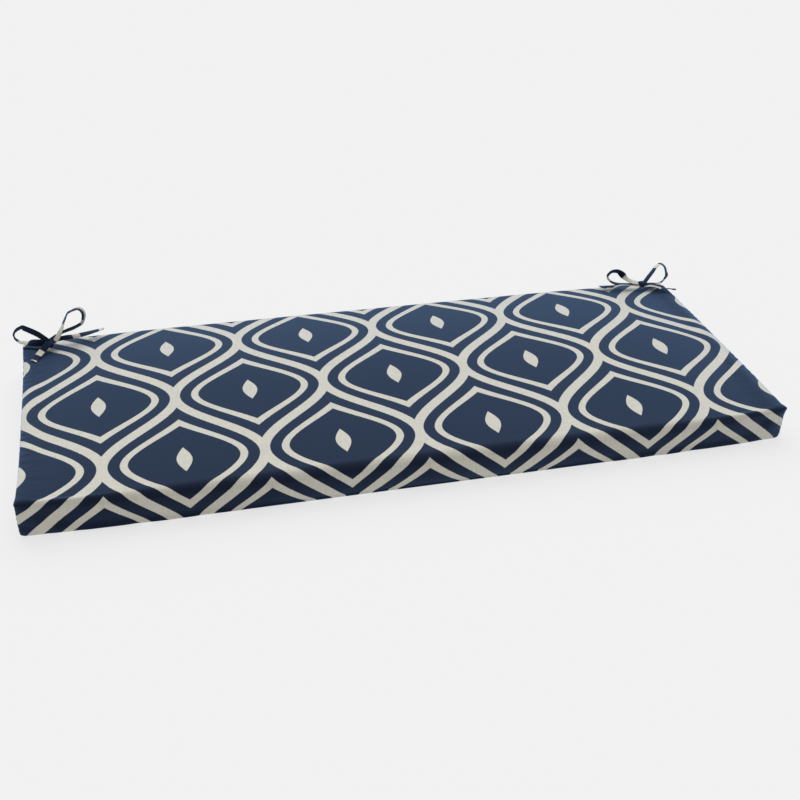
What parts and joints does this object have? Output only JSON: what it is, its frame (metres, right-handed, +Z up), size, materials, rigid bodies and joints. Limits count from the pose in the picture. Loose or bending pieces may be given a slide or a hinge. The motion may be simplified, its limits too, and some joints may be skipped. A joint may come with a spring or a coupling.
{
  "type": "bench cushion with bow ties",
  "caption": "Long filled seat cushion of printed woven cloth, soft-edged at the front, with sewn-in end panels and a bow tie near each back corner.",
  "frame": {"origin": "middle of the flat underside, on the surface that the cushion lies on", "axes": "+X along the cushion's length to its right end seen from the front, +Y to the back edge where the ties are, +Z up"},
  "size_m": [1.1642, 0.475, 0.1183],
  "materials": {
    "cover_cloth": "matt woven polyester, navy ground with a pale grey-cream print",
    "tie_cloth": "the cover's printed cloth, folded and stitched to a flat strap"
  },
  "bodies": {
    "root": {"cushion_body": "cover_cloth", "end_panel_left": "cover_cloth", "end_panel_right": "cover_cloth", "tie_left": "tie_cloth", "tie_right": "tie_cloth"}
  },
  "joints": []
}
